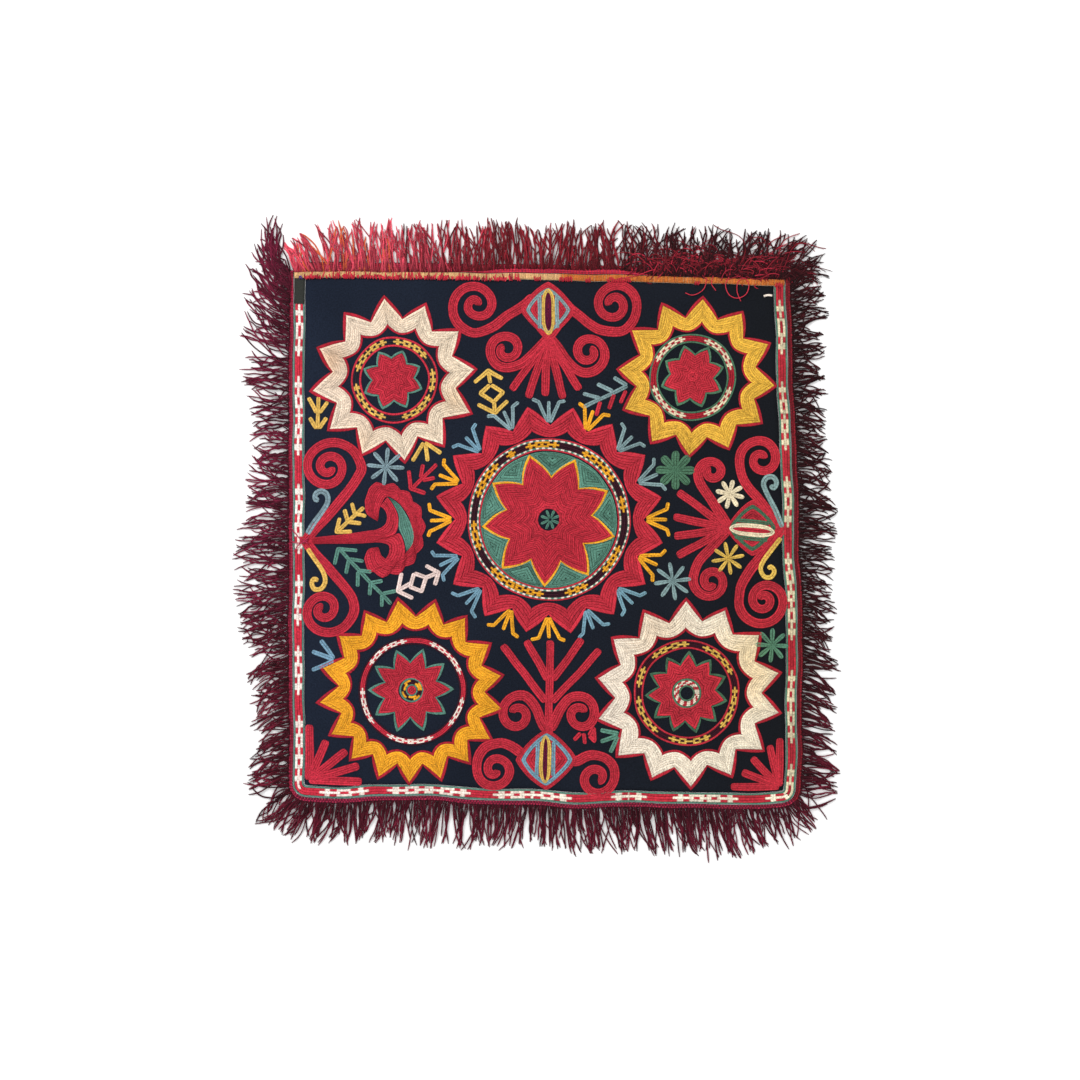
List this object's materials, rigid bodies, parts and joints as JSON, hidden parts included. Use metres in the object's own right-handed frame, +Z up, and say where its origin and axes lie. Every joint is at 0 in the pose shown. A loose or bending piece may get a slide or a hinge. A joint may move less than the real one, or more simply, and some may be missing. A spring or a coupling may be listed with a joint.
{
  "type": "embroidered panel",
  "caption": "Flat lying embroidered wool panel with raised chain stitch rosettes, scrolls and fans, a patterned border and fringe on all sides.",
  "frame": {"origin": "middle of the ground cloth's underside, on the surface the panel lies on", "axes": "+Z up out of the embroidered face, +Y towards the edge with the binding, +X to the right seen from above"},
  "size_m": [0.6025, 0.6372, 0.0027],
  "materials": {
    "ground_cloth": "matt dark navy wool cloth with chain stitch",
    "border": "red and white chain stitch between green rows",
    "binding": "orange and tan tape with red overcast stitches",
    "fringe": "wine red twisted wool yarn",
    "fringe_top": "rose to wine red twisted wool yarn"
  },
  "bodies": {
    "root": {"ground_cloth": "ground_cloth", "border_left": "border", "border_bottom": "border", "border_right": "border", "top_binding": "binding", "fringe_left": "fringe", "fringe_bottom": "fringe", "fringe_right": "fringe", "fringe_top": "fringe_top"}
  },
  "joints": []
}
